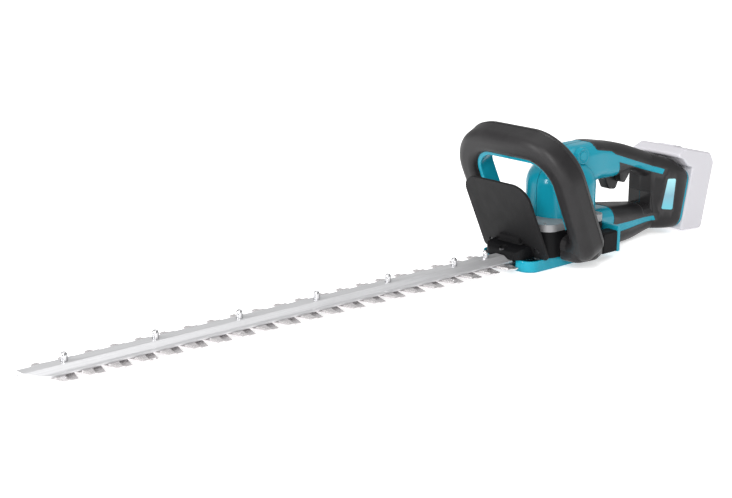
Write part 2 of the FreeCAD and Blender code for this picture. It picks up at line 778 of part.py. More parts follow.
def hand_guard():
    """The flat shield in front of the handle, leaning forwards, with a tab above the guide bar."""
    half, low, high = dim("guard_half_width"), dim("guard_low"), dim("guard_high")
    thick, foot = dim("guard_thick"), dim("guard_foot_x")
    corners = [(-half, low, 5), (half, low, 5), (half, high, 22), (-half, high, 22)]
    plate = lean_prism(corners, foot, 0, thick)
    tab_low = (dim("nose_top_z") + 0.8) / math.cos(math.radians(dim("lean")))
    tab = lean_prism([(-16, tab_low, 1), (16, tab_low, 1), (16, tab_low + 10, 2), (-16, tab_low + 10, 2)], foot, -3.6, 0.5)
    lip = lean_prism([(-19, tab_low, 1), (19, tab_low, 1), (19, tab_low + 2.6, 1), (-19, tab_low + 2.6, 1)],
                     foot, -5.4, 0.5)
    case_x = dim("case_front_x") - 0.1
    wedge = [(foot - 5, 17), (case_x, 17), (case_x, 31), (foot - 12, 31)]
    feet = [side_prism(wedge, s * GUARD_SCREW_Y - 6, s * GUARD_SCREW_Y + 6) for s in SIDES]
    solid = plate.fuse([tab, lip] + feet).removeSplitter()
    nose_half = dim("nose_half_width") + 0.4
    room = Part.makeBox(60, 2 * nose_half, dim("nose_top_z") + 0.4, Vector(-90, -nose_half, 0))
    ways = [Part.makeCylinder(1.7, 40, Vector(-60, s * GUARD_SCREW_Y, GUARD_SCREW_Z), X_AXIS) for s in SIDES]
    sink_deep = guard_screw_seat_x() + 60
    ways += [Part.makeCylinder(3.9, sink_deep, Vector(-60, s * GUARD_SCREW_Y, GUARD_SCREW_Z), X_AXIS) for s in SIDES]
    return is_part(feature("hand_guard", solid.cut(Part.makeCompound([room] + ways))), "hand_guard")


def guard_screws():
    """Two pan-head screws, one sunk in each foot of the guard."""
    solids = []
    seat_x = guard_screw_seat_x()
    length = dim("case_front_x") - seat_x
    for side in SIDES:
        y = side * GUARD_SCREW_Y
        turn = (Y_AXIS, 90)
        shank = cylinder("guard_screw_shank", 1.6, length, seat_x, y, GUARD_SCREW_Z, turn)
        head = cylinder("guard_screw_head", 3.6, 2.2, seat_x - 2.2, y, GUARD_SCREW_Z, turn)
        solids.append(fuse("guard_screw", shank, head))
    return is_part(group("guard_screws", *solids), "guard_screws")


def make_case():
    gear_case()
    bar_screws()
    motor_plate()
    under_cover()
    case_screws()
    hand_guard()
    guard_screws()


# ---------------------------------------------------------------- motor housing and rear grip

# Stations of the rear body, front to back: x, lowest z, highest z, half width.
NECK = [
    (30, 84, 126, 25), (42, 84, 132.5, 24), (62, 82, 133.5, 24), (80, 84, 133.3, 22.5), (97, 85, 131, 20.5),
    (126, 84.5, 125.5, 19), (155, 87, 117, 18.5), (182, 77, 107.5, 18.5), (200, 60, 101, 21),
]
ARM = [
    (66.5, 3, 52, 33), (84, 1.2, 51.5, 28), (105, 0.6, 50, 25), (135, 0.6, 46.5, 23), (160, 2.0, 43.5, 20),
    (184, 6.5, 42, 19), (204, 8.5, 50, 24),
]
BLOCK = [
    (184, 9.0, 106, 17), (192, 8.4, 103, 24), (205, 7.8, 98.5, 31.5), (218, 7.4, 93, 35), (231, 8, 85, 35),
    (250, 10, 80, 35),
]


def rounded_ring(x, low, high, half, corner):
    """A rounded rectangle across the tool at x."""
    corners = [(-half, low, corner), (half, low, corner), (half, high, corner), (-half, high, corner)]
    return outline_wire(corners, Placement(Vector(x, 0, 0), ACROSS_PLANE))


def station_solid(stations, inset, corner):
    """A smooth solid through stations, its walls moved inwards by inset."""
    wires = []
    for k, (x, low, high, half) in enumerate(stations):
        end = {0: inset, len(stations) - 1: -inset}.get(k, 0)
        wires.append(rounded_ring(x + end, low + inset, high - inset, half - inset, corner - inset * 0.8))
    return loft(wires)


def barrel_solid(inset):
    """The upright motor housing: a round front that widens to the shoulders, and a domed top."""
    front, rear, half = dim("barrel_front_x") + inset, dim("barrel_rear_x") - inset, dim("barrel_half_width") - inset
    low, high = dim("plate_top_z") + 0.1, dim("barrel_top_z") - inset
    nose_half, shoulder_x = 19 - inset * 0.4, 24 + inset * 0.3
    near_side = [(front, -nose_half, 36 - inset), (shoulder_x, -half, 31 - inset), (rear, -half, 30 - inset)]
    plan = near_side + [(x, -y, r) for x, y, r in reversed(near_side)]
    block = plan_prism(plan, low - inset, high)
    dome = dim("barrel_dome") - inset
    return fillet_where(block, dome, lambda e: e.BoundBox.ZMin > high - 0.1)


def leaned_rear(x_gap):
    """Everything behind the leaning plane that the battery slides on, moved back by x_gap."""
    lean = dim("battery_lean")
    block = Part.makeBox(200, 400, 400, Vector(0, -200, -200))
    block.Placement = Placement(Vector(dim("battery_x") + x_gap, 0, 0), Rotation(Y_AXIS, lean))
    return block


def collar(inset):
    """The flange behind the handle's clamps."""
    front, rear, half = 73.3 + inset, 78 - inset, 59 - inset
    return plan_prism([(front, -half), (rear, -half), (rear, half), (front, half)], 8 + inset, 39 - inset)


def trigger_lobe(inset):
    """The rounded lobe under the grip, behind the trigger."""
    outline = [(124, 96), (127, 79 + inset, 3), (134, 76 + inset, 4), (141, 84 + inset, 3), (148, 96)]
    return side_prism(outline, -15 + inset, 15 - inset)


def rear_body(inset):
    """The whole rear housing as one solid, its outside moved inwards by inset."""
    parts = [station_solid(NECK, inset, 15), station_solid(ARM, inset, 13), station_solid(BLOCK, inset, 14)]
    if inset < dim("shell_wall") / 2:
        parts += [collar(inset), trigger_lobe(inset)]
    return barrel_solid(inset).fuse(parts).cut(leaned_rear(-inset)).removeSplitter()


def battery_socket(gap):
    """The room for the battery's tongue, open behind and above, grown by gap."""
    half, deep = dim("tongue_half_width") + gap, dim("tongue_deep") + gap
    frame = Placement(Vector(dim("battery_x"), 0, 0), Rotation(Y_AXIS, dim("battery_lean")))
    room = Part.makeBox(deep + 20, 2 * half, 120, Vector(-deep, -half, 11 - gap))
    room.Placement = frame
    return room


TRIGGER_PIN = Vector(110, 0, 95)
CAP_CENTRE = Vector(44, 0, 122.5)


def trigger_room():
    """The slot in the grip's underside that the trigger swings in."""
    return side_prism([(101.5, 60), (138.5, 60), (138.5, 97, 3), (135, 106, 3), (104, 103, 3), (101.5, 92)], -7.6, 7.6)


def vents():
    """Two rows of cooling slots low on the right side of the motor housing."""
    slots = []
    for k in range(5):
        for z in (60, 68):
            slots.append(Part.makeBox(5.5, 80, 3.2, Vector(8 + 10 * k, 20, z)))
    return slots


def inner_ribs():
    """Ribs on the shells' inner walls: the motor's cradle, its top bearing's seat, the switch's and board's rests."""
    motor_x, reach = dim("motor_x"), 60
    cradle = Part.makeBox(2 * reach, 2 * reach, 3, Vector(motor_x - reach, -reach, 78))
    cradle = cradle.cut(Part.makeCylinder(dim("stator_radius") + 0.1, 20, Vector(motor_x, 0, 70)))
    seat = Part.makeBox(2 * reach, 2 * reach, 3.5, Vector(motor_x - reach, -reach, 98.5))
    seat = seat.cut(Part.makeCylinder(8.02, 20, Vector(motor_x, 0, 90)))
    ahead = Part.makeBox(200, 200, 200, Vector(62 - 200, -100, 0))
    ribs = [cradle.common(ahead), seat.common(ahead)]
    for side in SIDES:
        ribs.append(Part.makeBox(6, 30, 10, Vector(124, 8.1 if side > 0 else -38.1, 107)))
        for x in (100, 136):
            ribs.append(Part.makeBox(3, 30, 3, Vector(x, 10 if side > 0 else -40, 20.9)))
    return ribs


def cover_regions():
    """Where the soft grip covers lie, seen from the side: grip and block, then the arm, each less a stripe."""
    grip = [
        (78, 150), (72, 131, 4), (66, 127, 4), (103, 120, 8), (116, 112, 3), (119, 105, 3), (123, 78), (150, 70),
        (178, 62), (184, 56), (187, 30), (160, 30), (160, -5), (260, -5), (260, 150),
    ]
    stripe = [(108, 116, 1), (197, 86, 1), (195, 79.5, 1), (112, 106.5, 1)]
    arm = [(104, 60), (107, 34, 6), (92, -5), (170, -5), (170, 60)]
    arm_stripe = [(100, 28.5), (188, 26.5, 1), (190, 20.5, 1), (100, 17)]
    whole = side_prism(grip, -60, 60).fuse(side_prism(arm, -60, 60))
    cuts = [side_prism(stripe, -60, 60), side_prism(arm_stripe, -60, 60)]
    return whole.cut(Part.makeCompound(cuts))


def screw_places():
    """The x and z of the screws that hold the two housing halves together."""
    return [(88, 94), (160, 106), (90, 12), (150, 10), (204, 18), (214, 82)]


def side_labels(floor):
    """A plain slanted panel let into each side of the block, following its surface."""
    outline = [(195, 35, 2), (208.5, 33.5, 2), (211.5, 73, 2), (201, 73.5, 2)]
    panel = rear_body(-0.7).common(side_prism(outline, -60, 60)).cut(floor)
    keep = Part.makeBox(HUGE, 24, HUGE, Vector(-HUGE / 2, -12, -HUGE / 2))
    return is_part(feature("side_labels", panel.cut(keep)), "side_labels")


def housing():
    """Both housing shells, the soft covers on them and the side panels."""
    outer = rear_body(0.0)
    bosses = [Part.makeCylinder(4.6, 70, Vector(x, -35, z), Y_AXIS) for x, z in screw_places()]
    inner = rear_body(dim("shell_wall")).cut(Part.makeCompound(bosses)).cut(inner_ribs())
    skin_floor = rear_body(dim("skin_thick") - dim("skin_proud"))
    grown = rear_body(-dim("skin_proud")).common(cover_regions()).cut(leaned_rear(-4.5))
    labels = side_labels(skin_floor)
    skin = grown.cut(skin_floor)
    below = Part.makeBox(HUGE, HUGE, HUGE, Vector(-HUGE / 2, -HUGE / 2, -HUGE))
    rooms = [battery_socket(0.4), trigger_room(), below]
    ways = [Part.makeCylinder(1.6, 30, Vector(x, -10, z), Y_AXIS) for x, z in screw_places()]
    sinks = [Part.makeCylinder(3.4, 60, Vector(x, 11.5, z), Y_AXIS) for x, z in screw_places()]
    seats = [Part.makeCylinder(10.52, 20, Vector(CAP_CENTRE.x, s * 21.98, CAP_CENTRE.z), Y_AXIS * s) for s in SIDES]
    shell = outer.cut(inner).cut(skin).cut(Part.makeCompound(rooms + ways + sinks + seats + vents()))
    cover = skin.cut(Part.makeCompound(rooms + sinks)).cut(labels.Shape)
    for side, word in ((-1, "left"), (1, "right")):
        half = half_space(side)
        is_part(feature("housing_" + word, shell.common(half)), "housing_" + word)
        is_part(feature("grip_cover_" + word, cover.common(half)), "grip_cover_" + word)


def housing_screws():
    """Screws across the two housing halves."""
    solids = []
    turn = (X_AXIS, 90)
    for x, z in screw_places():
        shank = cylinder("housing_screw_shank", 1.5, 21, x, 11.5, z, turn)
        head = cylinder("housing_screw_head", 3.2, 2.4, x, 13.9, z, turn)
        solids.append(fuse("housing_screw", shank, head))
    return is_part(group("housing_screws", *solids), "housing_screws")


def side_caps():
    """A round cap with a raised ring on each side of the neck."""
    solids = []
    for side in SIDES:
        turn = (X_AXIS, -90 * side)
        profile = [(0, 0), (10.5, 0), (10.5, 5, 1.6), (8, 5), (7, 4, 0.5), (6, 4), (5, 5), (0, 5)]
        solids.append(turned("side_cap", profile, CAP_CENTRE.x, side * 22, CAP_CENTRE.z, turn))
    return is_part(group("side_caps", *solids), "side_caps")


def make_housing():
    housing()
    housing_screws()
    side_caps()


# ---------------------------------------------------------------- front handle

HANDLE_SCREWS = [(76, 62), (76, 122), (40, 169.5)]
SPRING_Y = 30


def loop_outline(inset=0.0):
    """The handle's outline across and up its leaning plane, with feet that turn in to the gear case."""
    thick = dim("loop_thick") / 2 - inset
    outer_half, inner_half = dim("loop_half") + thick, dim("loop_half") - thick
    outer_top, inner_top = dim("loop_top") + thick, dim("loop_top") - thick
    corner, low = dim("loop_corner"), dim("loop_low") + inset
    foot_in, foot_top = dim("case_half_width") + 0.3, dim("loop_low") + 27 - inset
    outside = [(-foot_in, low), (-outer_half, low, 20 - inset), (-outer_half, outer_top, corner + thick)]
    inside = [(inner_half, inner_top, corner - thick), (inner_half, foot_top, 6), (foot_in, foot_top)]
    outside += [(-p[0], *p[1:]) for p in reversed(outside)]
    inside = [(p[0], *p[1:]) for p in reversed(inside)] + [(-p[0], *p[1:]) for p in inside]
    return outside + inside


def flat_edges(shape, beyond):
    """Edges of a local prism that lie in its two flat faces, apart from those nearer the middle than `beyond`."""
    return [
        e for e in shape.Edges
        if e.BoundBox.ZLength < 1e-4 and max(abs(e.BoundBox.YMin), abs(e.BoundBox.XMin), abs(e.BoundBox.XMax)) > beyond
    ]


def local_prism(points, low, high):
    """An outline extruded from low to high along z, before it is placed."""
    solid = Part.Face(outline_wire(points)).extrude(Vector(0, 0, high - low))
    solid.translate(Vector(0, 0, low))
    return solid


def lever_outline(grow, rise):
    """The front switch lever's arch; grow widens it outwards and rise lifts its top."""
    half, top, corner, low = 65 + grow, 156 + grow + rise, 36 + grow, 58 - grow
    inner_half, inner_top, inner_corner = (55.5, 145.5, 26.5) if grow == 0 else (50, 141, 21)
    outside = [(-half, low), (-half, top, corner), (half, top, corner), (half, low)]
    inside = [(inner_half, low), (inner_half, inner_top, inner_corner), (-inner_half, inner_top, inner_corner)]
    return outside + inside + [(-inner_half, low)]


def front_handle():
    """The loop handle in two hollow shells, and the lever that lines its inside."""
    deep = dim("loop_depth") / 2
    loop = local_prism(loop_outline(), -deep, deep)
    loop = loop.makeFillet(11.5, flat_edges(loop, dim("case_half_width") + 2))
    wall = 4.5
    channel = local_prism(loop_outline(wall), -deep + wall, deep - wall)
    inner_keep = local_prism([(-68, 0), (-68, 163.5, 30), (68, 163.5, 30), (68, 0)], -deep, deep)
    bosses = [Part.makeCylinder(4, 60, Vector(s * y, up, -30)) for y, up in HANDLE_SCREWS for s in SIDES]
    channel = channel.cut(Part.makeCompound([inner_keep] + bosses))
    groove = local_prism(lever_outline(0.4, dim("lever_travel") + 0.3), -dim("lever_depth") / 2 - 0.4,
                         dim("lever_depth") / 2 + 0.4)
    spring_ways = [Part.makeCylinder(4, 18, Vector(s * SPRING_Y, 150, 0), Y_AXIS) for s in SIDES]
    plunger_way = Part.makeBox(6, 10, 6, Vector(-3, 156, -3))
    screw_ways = [Part.makeCylinder(1.6, 60, Vector(s * y, up, -deep + 4)) for y, up in HANDLE_SCREWS for s in SIDES]
    sinks = [Part.makeCylinder(3.2, 30, Vector(s * y, up, deep - 5)) for y, up in HANDLE_SCREWS for s in SIDES]
    hollow = Part.makeCompound([channel, groove, plunger_way] + spring_ways + screw_ways + sinks)
    frame = lean_frame(dim("loop_foot_x"))
    loop = loop.cut(hollow)
    loop.Placement = frame
    feet = []
    edge = dim("case_half_width") + 0.3
    for side in SIDES:
        plan = [(-12, side * edge), (-12, side * 71, 12), (20, side * 75, 20), (42, side * 64, 8), (42, side * edge)]
        foot = plan_prism(plan, 9, 31)
        feet.append(fillet_where(foot, 6, lambda e: e.BoundBox.ZLength < 1e-4 and abs(e.CenterOfMass.y) > edge + 5))
        post = Part.makeCylinder(9.5, 34, Vector(-2, side * 58, 12))
        feet.append(fillet_where(post, 3, lambda e: e.BoundBox.ZMin > 45.9))
    body = loop.fuse(feet)
    split = Part.makeBox(400, 400, 400, Vector(-200, -50, 8))
    split.Placement = frame
    foot_hold = Part.makeBox(300, 400, 36, Vector(-150, -200, 0))
    rear_side = split.cut(foot_hold)
    is_part(feature("front_handle", body.cut(rear_side)), "front_handle")
    is_part(feature("front_handle_back", body.common(rear_side)), "front_handle_back")
    half_lever = dim("lever_depth") / 2
    lever = local_prism(lever_outline(0, 0), -half_lever, half_lever)
    lever = lever.makeFillet(1.6, flat_edges(lever, 0))
    is_part(feature("front_lever", lever, frame), "front_lever")


def coil_spring(radius, wire_radius, height, turns):
    """A helical spring about z."""
    helix = Part.makeHelix(height / turns, height, radius)
    circle = Part.Wire(Part.makeCircle(wire_radius, Vector(radius, 0, 0), Y_AXIS))
    return Part.Wire(helix).makePipeShell([circle], True, True)


def front_switch():
    """The switch behind the lever, and the two springs that push the lever back."""
    frame = lean_frame(dim("loop_foot_x"))
    body = Part.makeBox(18, 10.5, 12, Vector(-9, 164.5, -6))
    plunger = Part.makeBox(4, 5, 4, Vector(-2, 160.6, -2))
    is_part(feature("front_switch", body.fuse(plunger), frame), "front_switch")
    springs = []
    for side in SIDES:
        spring = coil_spring(2.6, 0.4, 11, 7)
        spring.Placement = Placement(Vector(side * SPRING_Y, 156.5, 0), Rotation(X_AXIS, -90))
        springs.append(spring)
    is_part(feature("lever_springs", Part.makeCompound(springs), frame), "lever_springs")


def handle_screws():
    """Screws from the back that hold the handle's two shells together."""
    frame = lean_frame(dim("loop_foot_x"))
    deep = dim("loop_depth") / 2
    solids = []
    for side in SIDES:
        for y, up in HANDLE_SCREWS:
            shank = cylinder("handle_screw_shank", 1.5, deep - 5 + 12)
            shank.Placement = frame.multiply(Placement(Vector(side * y, up, -12), Rotation()))
            head = cylinder("handle_screw_head", 3.0, 2.2)
            head.Placement = frame.multiply(Placement(Vector(side * y, up, deep - 5), Rotation()))
            solids.append(fuse("handle_screw", shank, head))
    return is_part(group("handle_screws", *solids), "handle_screws")


def handle_clamps():
    """A block behind each foot that ties the handle to the gear case's side."""
    blocks = []
    low_y = dim("case_half_width") + 0.3
    for side in SIDES:
        corner = low_y if side > 0 else -60
        block = box("clamp_block", 26.2, 60 - low_y, 26, 46.6, corner, 8.5)
        blocks.append(rounded("clamp", block, 2.5, lambda e: abs(abs(e.CenterOfMass.y) - low_y) > 0.5))
    return is_part(group("handle_clamps", *blocks), "handle_clamps")


def make_handle():
    front_handle()
    front_switch()
    handle_screws()
    handle_clamps()


# ---------------------------------------------------------------- trigger and electronics

TRIGGER_HALF = 7.0


def trigger():
    """The rear trigger, hinged at its front end."""
    outline = [
        (105, 101, 3), (104, 86, 3), (109, 82, 5), (116, 69, 6), (129, 67, 5), (133, 76, 3), (136, 86, 3), (136, 98, 3),
    ]
    solid = side_prism(outline, -TRIGGER_HALF, TRIGGER_HALF)
    solid = fillet_where(solid, 1.5, lambda e: e.BoundBox.YLength < 1e-4)
    pin_way = Part.makeCylinder(2.05, 60, TRIGGER_PIN - Y_AXIS * 30, Y_AXIS)
    spring_way = Part.makeCylinder(4.8, 9, TRIGGER_PIN - Y_AXIS * 4.5, Y_AXIS)
    hollow = side_prism([(117, 110), (117, 76), (121, 71), (127, 71), (130, 76), (133, 88), (133, 110)], -4.5, 4.5)
    return is_part(feature("trigger", solid.cut(Part.makeCompound([pin_way, spring_way, hollow]))), "trigger")


def trigger_fittings():
    """The trigger's pin, its spring and the switch above it."""
    turn = (X_AXIS, 90)
    pin = cylinder("trigger_pin", 2.0, 18, TRIGGER_PIN.x, 9, TRIGGER_PIN.z, turn)
    is_part(pin, "trigger_pin")
    spring = coil_spring(3.4, 0.45, 7.5, 5)
    placement = Placement(TRIGGER_PIN + Y_AXIS * 3.75, Rotation(X_AXIS, 90))
    is_part(feature("trigger_spring", spring, placement), "trigger_spring")
    body = box("switch_box", 30, 16, 10, 112, -8, 107)
    is_part(rounded("trigger_switch", body, 1.0, lambda e: True), "trigger_switch")


def controller_board():
    """The circuit board in the lower arm, with its capacitors and transistors."""
    low = 24.0
    board = box("board", 56, 30, 1.6, 92, -15, low)
    caps = [cylinder("capacitor", 5, 13, 100 + 13 * k, 7, low + 1.6) for k in range(2)]
    chips = [box("transistor", 6, 9, 2.5, 97 + 9 * k, -12, low + 1.6) for k in range(5)]
    return is_part(fuse("controller_board", board, *caps, *chips), "controller_board")


def make_controls():
    trigger()
    trigger_fittings()
    controller_board()


# ---------------------------------------------------------------- battery

def slide_frame():
    """Placement of the battery's own frame: x to the rear, y across, z up the leaning plane it slides on."""
    return Placement(Vector(dim("battery_x"), 0, 0), Rotation(Y_AXIS, dim("battery_lean")))


def battery():
    """The battery: a case with a tongue that runs in the housing's socket, a lid, and what they hold."""
    half = dim("battery_half_width")
    outline = [
        (0.4, 4.2, 4), (0.4, 86, 3), (-9, 86.4, 3), (-22, 94, 3), (-37, 96, 3), (-18, 108, 12), (31, 108, 8),
        (41.7, 97, 8), (41.7, 10.8, 6),
    ]
    solid = fillet_where(side_prism(outline, -half, half), 2.4, lambda e: e.BoundBox.YLength < 1e-4)
    deep, tongue_half = dim("tongue_deep"), dim("tongue_half_width")
    tongue = Part.makeBox(deep + 1, 2 * tongue_half, 46, Vector(-deep, -tongue_half, 13))
    tongue = fillet_where(tongue, 2.0, lambda e: e.BoundBox.XMax < -deep + 0.1)
    room = side_prism([
        (2.8, 7), (2.8, 88.6), (-8, 88.8), (-21, 96.6), (-28, 98), (-17, 105.4), (-14, 106), (30.8, 106), (40, 96.8), (39.6, 13),
    ], -half + 2.4, half - 2.4)
    slot = Part.makeBox(deep - 3.4 + 1, 26, 36, Vector(-deep - 1, -13, 12))
    button_room = Part.makeBox(16.8, 26.8, 20, Vector(-14.4, -13.4, 100))
    solid = solid.fuse(tongue).cut(Part.makeCompound([room, slot, button_room]))
    lid_side = Part.makeBox(200, 200, 200, Vector(-100, -100, 85.6))
    is_part(feature("battery_case", solid.cut(lid_side), slide_frame()), "battery_case")
    is_part(feature("battery_lid", solid.common(lid_side), slide_frame()), "battery_lid")


def battery_cells():
    """Two columns of cells that lie across the case."""
    radius, length = dim("cell_radius"), dim("cell_length")
    step = 2 * radius + 0.05
    cells = []
    for column in range(2):
        for row in range(5):
            centre = Vector(3 + radius + column * step, -length / 2, 12 + radius + row * step)
            cells.append(Part.makeCylinder(radius, length, centre, Y_AXIS))
    return is_part(feature("battery_cells", Part.makeCompound(cells), slide_frame()), "battery_cells")


def battery_contacts():
    """Contact plates at the bottom of the tongue's slot."""
    plates = [Part.makeBox(0.7, 3, 22, Vector(-3.5 - 0.7, y - 1.5, 16)) for y in (-8, 0, 8)]
    return is_part(feature("battery_contacts", Part.makeCompound(plates), slide_frame()), "battery_contacts")


def release_button():
    """The battery's release button, which is pushed down into the lid."""
    button = Part.makeBox(16, 26, 9, Vector(-14, -13, 100.4))
    button = fillet_where(button, 1.5, lambda e: e.BoundBox.ZMin > 109.3)
    return is_part(feature("release_button", button, slide_frame()), "release_button")


def battery_terminal():
    """The housing's terminal block, which fits into the slot in the battery's tongue."""
    block = Part.makeBox(5.2, 22, 26, Vector(-dim("tongue_deep") - 0.35, -11, 14.5))
    return is_part(feature("battery_terminal", block, slide_frame()), "battery_terminal")


def make_battery():
    battery()
    battery_cells()
    battery_contacts()
    release_button()
    battery_terminal()


# ---------------------------------------------------------------- all of it

def write_parts():
    """Checks every object and writes each sub-part to its own file."""
    doc.recompute()
    faulty = [o.Name for o in doc.Objects if "Invalid" in o.State or "Error" in o.State]
    bad = [o.Label for o in PARTS if o.Shape.isNull() or not o.Shape.isValid()]
    if faulty or bad:
        raise RuntimeError(f"objects that failed: {faulty}; sub-parts with a bad shape: {bad}")
    os.makedirs("parts", exist_ok=True)
    for obj in PARTS:
        obj.Shape.exportStep(f"parts/{obj.Label}.step")
    print(f"{len(PARTS)} sub-parts written")


make_blade_set()
make_drive()
make_case()
make_housing()
make_handle()
make_controls()
make_battery()
write_parts()
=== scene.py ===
"""Looks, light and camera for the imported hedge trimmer. Lengths are in metres, in the part's own frame."""

import json
import math

import bmesh
import bpy
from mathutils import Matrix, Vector


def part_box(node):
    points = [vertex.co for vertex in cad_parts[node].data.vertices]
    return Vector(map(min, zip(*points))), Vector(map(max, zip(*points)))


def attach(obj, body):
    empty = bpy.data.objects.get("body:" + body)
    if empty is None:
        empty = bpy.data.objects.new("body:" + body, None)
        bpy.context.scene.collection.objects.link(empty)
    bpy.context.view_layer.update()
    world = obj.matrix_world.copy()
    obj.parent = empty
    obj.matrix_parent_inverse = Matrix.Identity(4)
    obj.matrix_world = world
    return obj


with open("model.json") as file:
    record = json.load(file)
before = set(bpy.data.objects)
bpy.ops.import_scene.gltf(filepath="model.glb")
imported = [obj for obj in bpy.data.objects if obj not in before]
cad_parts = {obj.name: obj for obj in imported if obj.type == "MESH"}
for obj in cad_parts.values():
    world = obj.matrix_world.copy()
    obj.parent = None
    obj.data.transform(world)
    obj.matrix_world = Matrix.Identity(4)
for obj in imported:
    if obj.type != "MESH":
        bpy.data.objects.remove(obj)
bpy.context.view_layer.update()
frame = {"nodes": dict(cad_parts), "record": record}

scene = bpy.context.scene
NODES = frame["nodes"]

# Half the width of the dark line in each parting line's finish, and the radius of the real bead laid in it.
HOUSING_GROOVE = 0.0003
HANDLE_GROOVE = 0.00035
HOUSING_BEAD = 0.00022
HANDLE_BEAD = 0.0006

# ---------------------------------------------------------------- node helpers


class Tree:
    """A material's node tree with short ways to add what the materials below share."""

    def __init__(self, name):
        self.material = bpy.data.materials.new(name)
        self.material.use_nodes = True
        self.tree = self.material.node_tree
        self.shader = self.tree.nodes["Principled BSDF"]
        self.place = self.add("ShaderNodeTexCoord").outputs["Object"]

    def add(self, kind, **values):
        node = self.tree.nodes.new(kind)
        for key, value in values.items():
            setattr(node, key, value)
        return node

    def link(self, source, target):
        self.tree.links.new(source, target)

    def set(self, name, value):
        self.shader.inputs[name].default_value = value

    def noise(self, scale, detail=3.0, stretch=(1, 1, 1), roughness=0.55):
        """Noise over the object's own coordinates, with `scale` cells to the metre, times `stretch`."""
        mapping = self.add("ShaderNodeMapping")
        mapping.inputs["Scale"].default_value = stretch
        self.link(self.place, mapping.inputs["Vector"])
        node = self.add("ShaderNodeTexNoise")
        node.inputs["Scale"].default_value = scale
        node.inputs["Detail"].default_value = detail
        node.inputs["Roughness"].default_value = roughness
        self.link(mapping.outputs["Vector"], node.inputs["Vector"])
        return node.outputs["Fac"]

    def ranged(self, value, low, high, from_low=0.3, from_high=0.7):
        """A number taken from its usual range to low..high."""
        node = self.add("ShaderNodeMapRange")
        node.inputs["From Min"].default_value = from_low
        node.inputs["From Max"].default_value = from_high
        node.inputs["To Min"].default_value = low
        node.inputs["To Max"].default_value = high
        self.link(value, node.inputs["Value"])
        return node.outputs["Result"]

    def math(self, operation, a, b):
        node = self.add("ShaderNodeMath", operation=operation)
        for socket, value in zip(node.inputs, (a, b)):
            if isinstance(value, (int, float)):
                socket.default_value = value
            else:
                self.link(value, socket)
        return node.outputs[0]

    def mix(self, share, first, second):
        """A colour between two colours."""
        node = self.add("ShaderNodeMix", data_type="RGBA")
        self.link(share, node.inputs["Factor"])
        for socket, value in ((node.inputs[6], first), (node.inputs[7], second)):
            if isinstance(value, tuple):
                socket.default_value = (*value, 1)
            else:
                self.link(value, socket)
        return node.outputs[2]

    def bump(self, height, depth, strength=1.0, under=None):
        node = self.add("ShaderNodeBump")
        node.inputs["Distance"].default_value = depth
        node.inputs["Strength"].default_value = strength
        self.link(height, node.inputs["Height"])
        if under:
            self.link(under, node.inputs["Normal"])
        return node.outputs["Normal"]

    def along(self, direction, start):
        """Distance past the plane that stands `start` metres along `direction`, which has unit length."""
        node = self.add("ShaderNodeVectorMath", operation="DOT_PRODUCT")
        self.link(self.place, node.inputs[0])
        node.inputs[1].default_value = direction
        return self.math("SUBTRACT", node.outputs["Value"], start)

    def band(self, distance, half):
        """1 within `half` of a plane, falling to 0 at twice that."""
        return self.ranged(self.math("ABSOLUTE", distance, 0.0), 1.0, 0.0, half, half * 2)

    def edges(self, low=0.52, high=0.58):
        """Near 1 on the sharp outer edges that get rubbed."""
        pointiness = self.add("ShaderNodeNewGeometry").outputs["Pointiness"]
        return self.ranged(pointiness, 0.0, 1.0, low, high)


def shade(colour, factor):
    """The colour made brighter or darker."""
    return tuple(min(1.0, c * factor) for c in colour)


def surface(name, colour, rough, metallic=0.0, grain=(1500, 0.00004), mottle=0.06, wear=0.1, specular=0.5,
            streak=(1, 1, 1), seam=None, patch=None):
    """A finish with mottled colour, uneven roughness, fine grain and paler rubbed edges.

    rough is the range of roughness. grain gives the fine grain's cells to the metre and its depth in metres.
    seam gives a plane (direction, distance) that a fine parting line lies in. patch gives a second colour and
    the corners of the box where it shows."""
    tree = Tree(name)
    broad = tree.noise(22, 4)
    fine = tree.noise(grain[0], 2, streak)
    base = tree.mix(tree.ranged(broad, 0, 1), shade(colour, 1 - mottle), shade(colour, 1 + mottle))
    smudge = tree.noise(60, 5, (1, 1.4, 0.8))
    worn = tree.math("MULTIPLY", tree.edges(), tree.math("MULTIPLY", smudge, wear * 2))
    tone = tree.mix(worn, base, shade(colour, 1.9))
    if patch:
        tone = tree.mix(inside_box(tree, *patch[1:]), tone, patch[0])
    relief = tree.bump(fine, grain[1])
    if seam:
        line = tree.band(tree.along(*seam), HOUSING_GROOVE)
        tone = tree.mix(tree.math("MULTIPLY", line, 0.7), tone, shade(colour, 0.25))
        relief = tree.bump(tree.math("SUBTRACT", 1.0, line), 0.0004, 1.0, relief)
    tree.link(tone, tree.shader.inputs["Base Color"])
    spread = tree.math("ADD", tree.ranged(smudge, rough[0], rough[1]), tree.math("MULTIPLY", fine, 0.04))
    tree.link(spread, tree.shader.inputs["Roughness"])
    tree.link(relief, tree.shader.inputs["Normal"])
    tree.set("Metallic", metallic)
    tree.set("Specular IOR Level", specular)
    return tree.material


def inside_box(tree, low, high):
    """1 inside the box from low to high, 0 outside it."""
    share = 1.0
    for axis, (start, end) in enumerate(zip(low, high)):
        direction = [0, 0, 0]
        direction[axis] = 1
        distance = tree.along(direction, (start + end) / 2)
        share = tree.math("MULTIPLY", tree.band(distance, (end - start) / 2), share)
    return tree.math("GREATER_THAN", share, 0.98)


